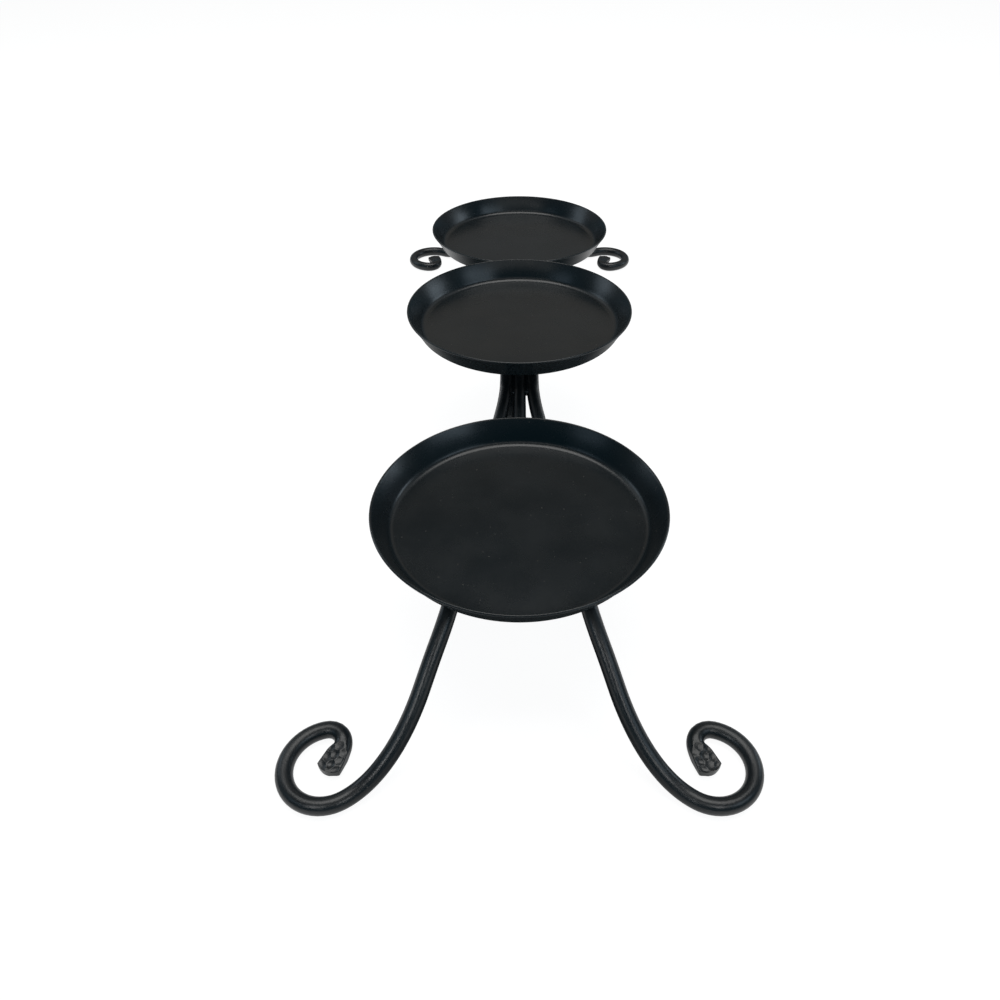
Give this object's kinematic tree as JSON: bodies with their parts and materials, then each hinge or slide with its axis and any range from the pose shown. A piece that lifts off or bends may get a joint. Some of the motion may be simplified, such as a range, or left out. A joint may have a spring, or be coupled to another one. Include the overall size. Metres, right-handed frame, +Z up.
{
  "type": "candle stand",
  "caption": "Low table-top candle stand: flared round pans in a row, the middle one raised, on round iron bars that bend down into flat scroll feet.",
  "frame": {"origin": "on the surface that the stand rests on, under the centre of the middle pan", "axes": "+Z up, +Y along the row of pans from the front pan to the rear pan, +X to the right seen from the front pan"},
  "size_m": [0.1908, 0.5216, 0.0795],
  "materials": {
    "pan_paint": "satin black powder coat on pressed steel sheet",
    "bar_paint": "satin black powder coat on round steel bar, hammered at the ends",
    "weld_paint": "satin black powder coat over weld beads"
  },
  "bodies": {
    "root": {"pan_front": "pan_paint", "pan_middle": "pan_paint", "pan_rear": "pan_paint", "side_bar_left": "bar_paint", "side_bar_right": "bar_paint", "spine_bar": "bar_paint", "spine_welds": "weld_paint", "pan_front_welds": "weld_paint", "pan_middle_welds": "weld_paint", "pan_rear_welds": "weld_paint"}
  },
  "joints": []
}
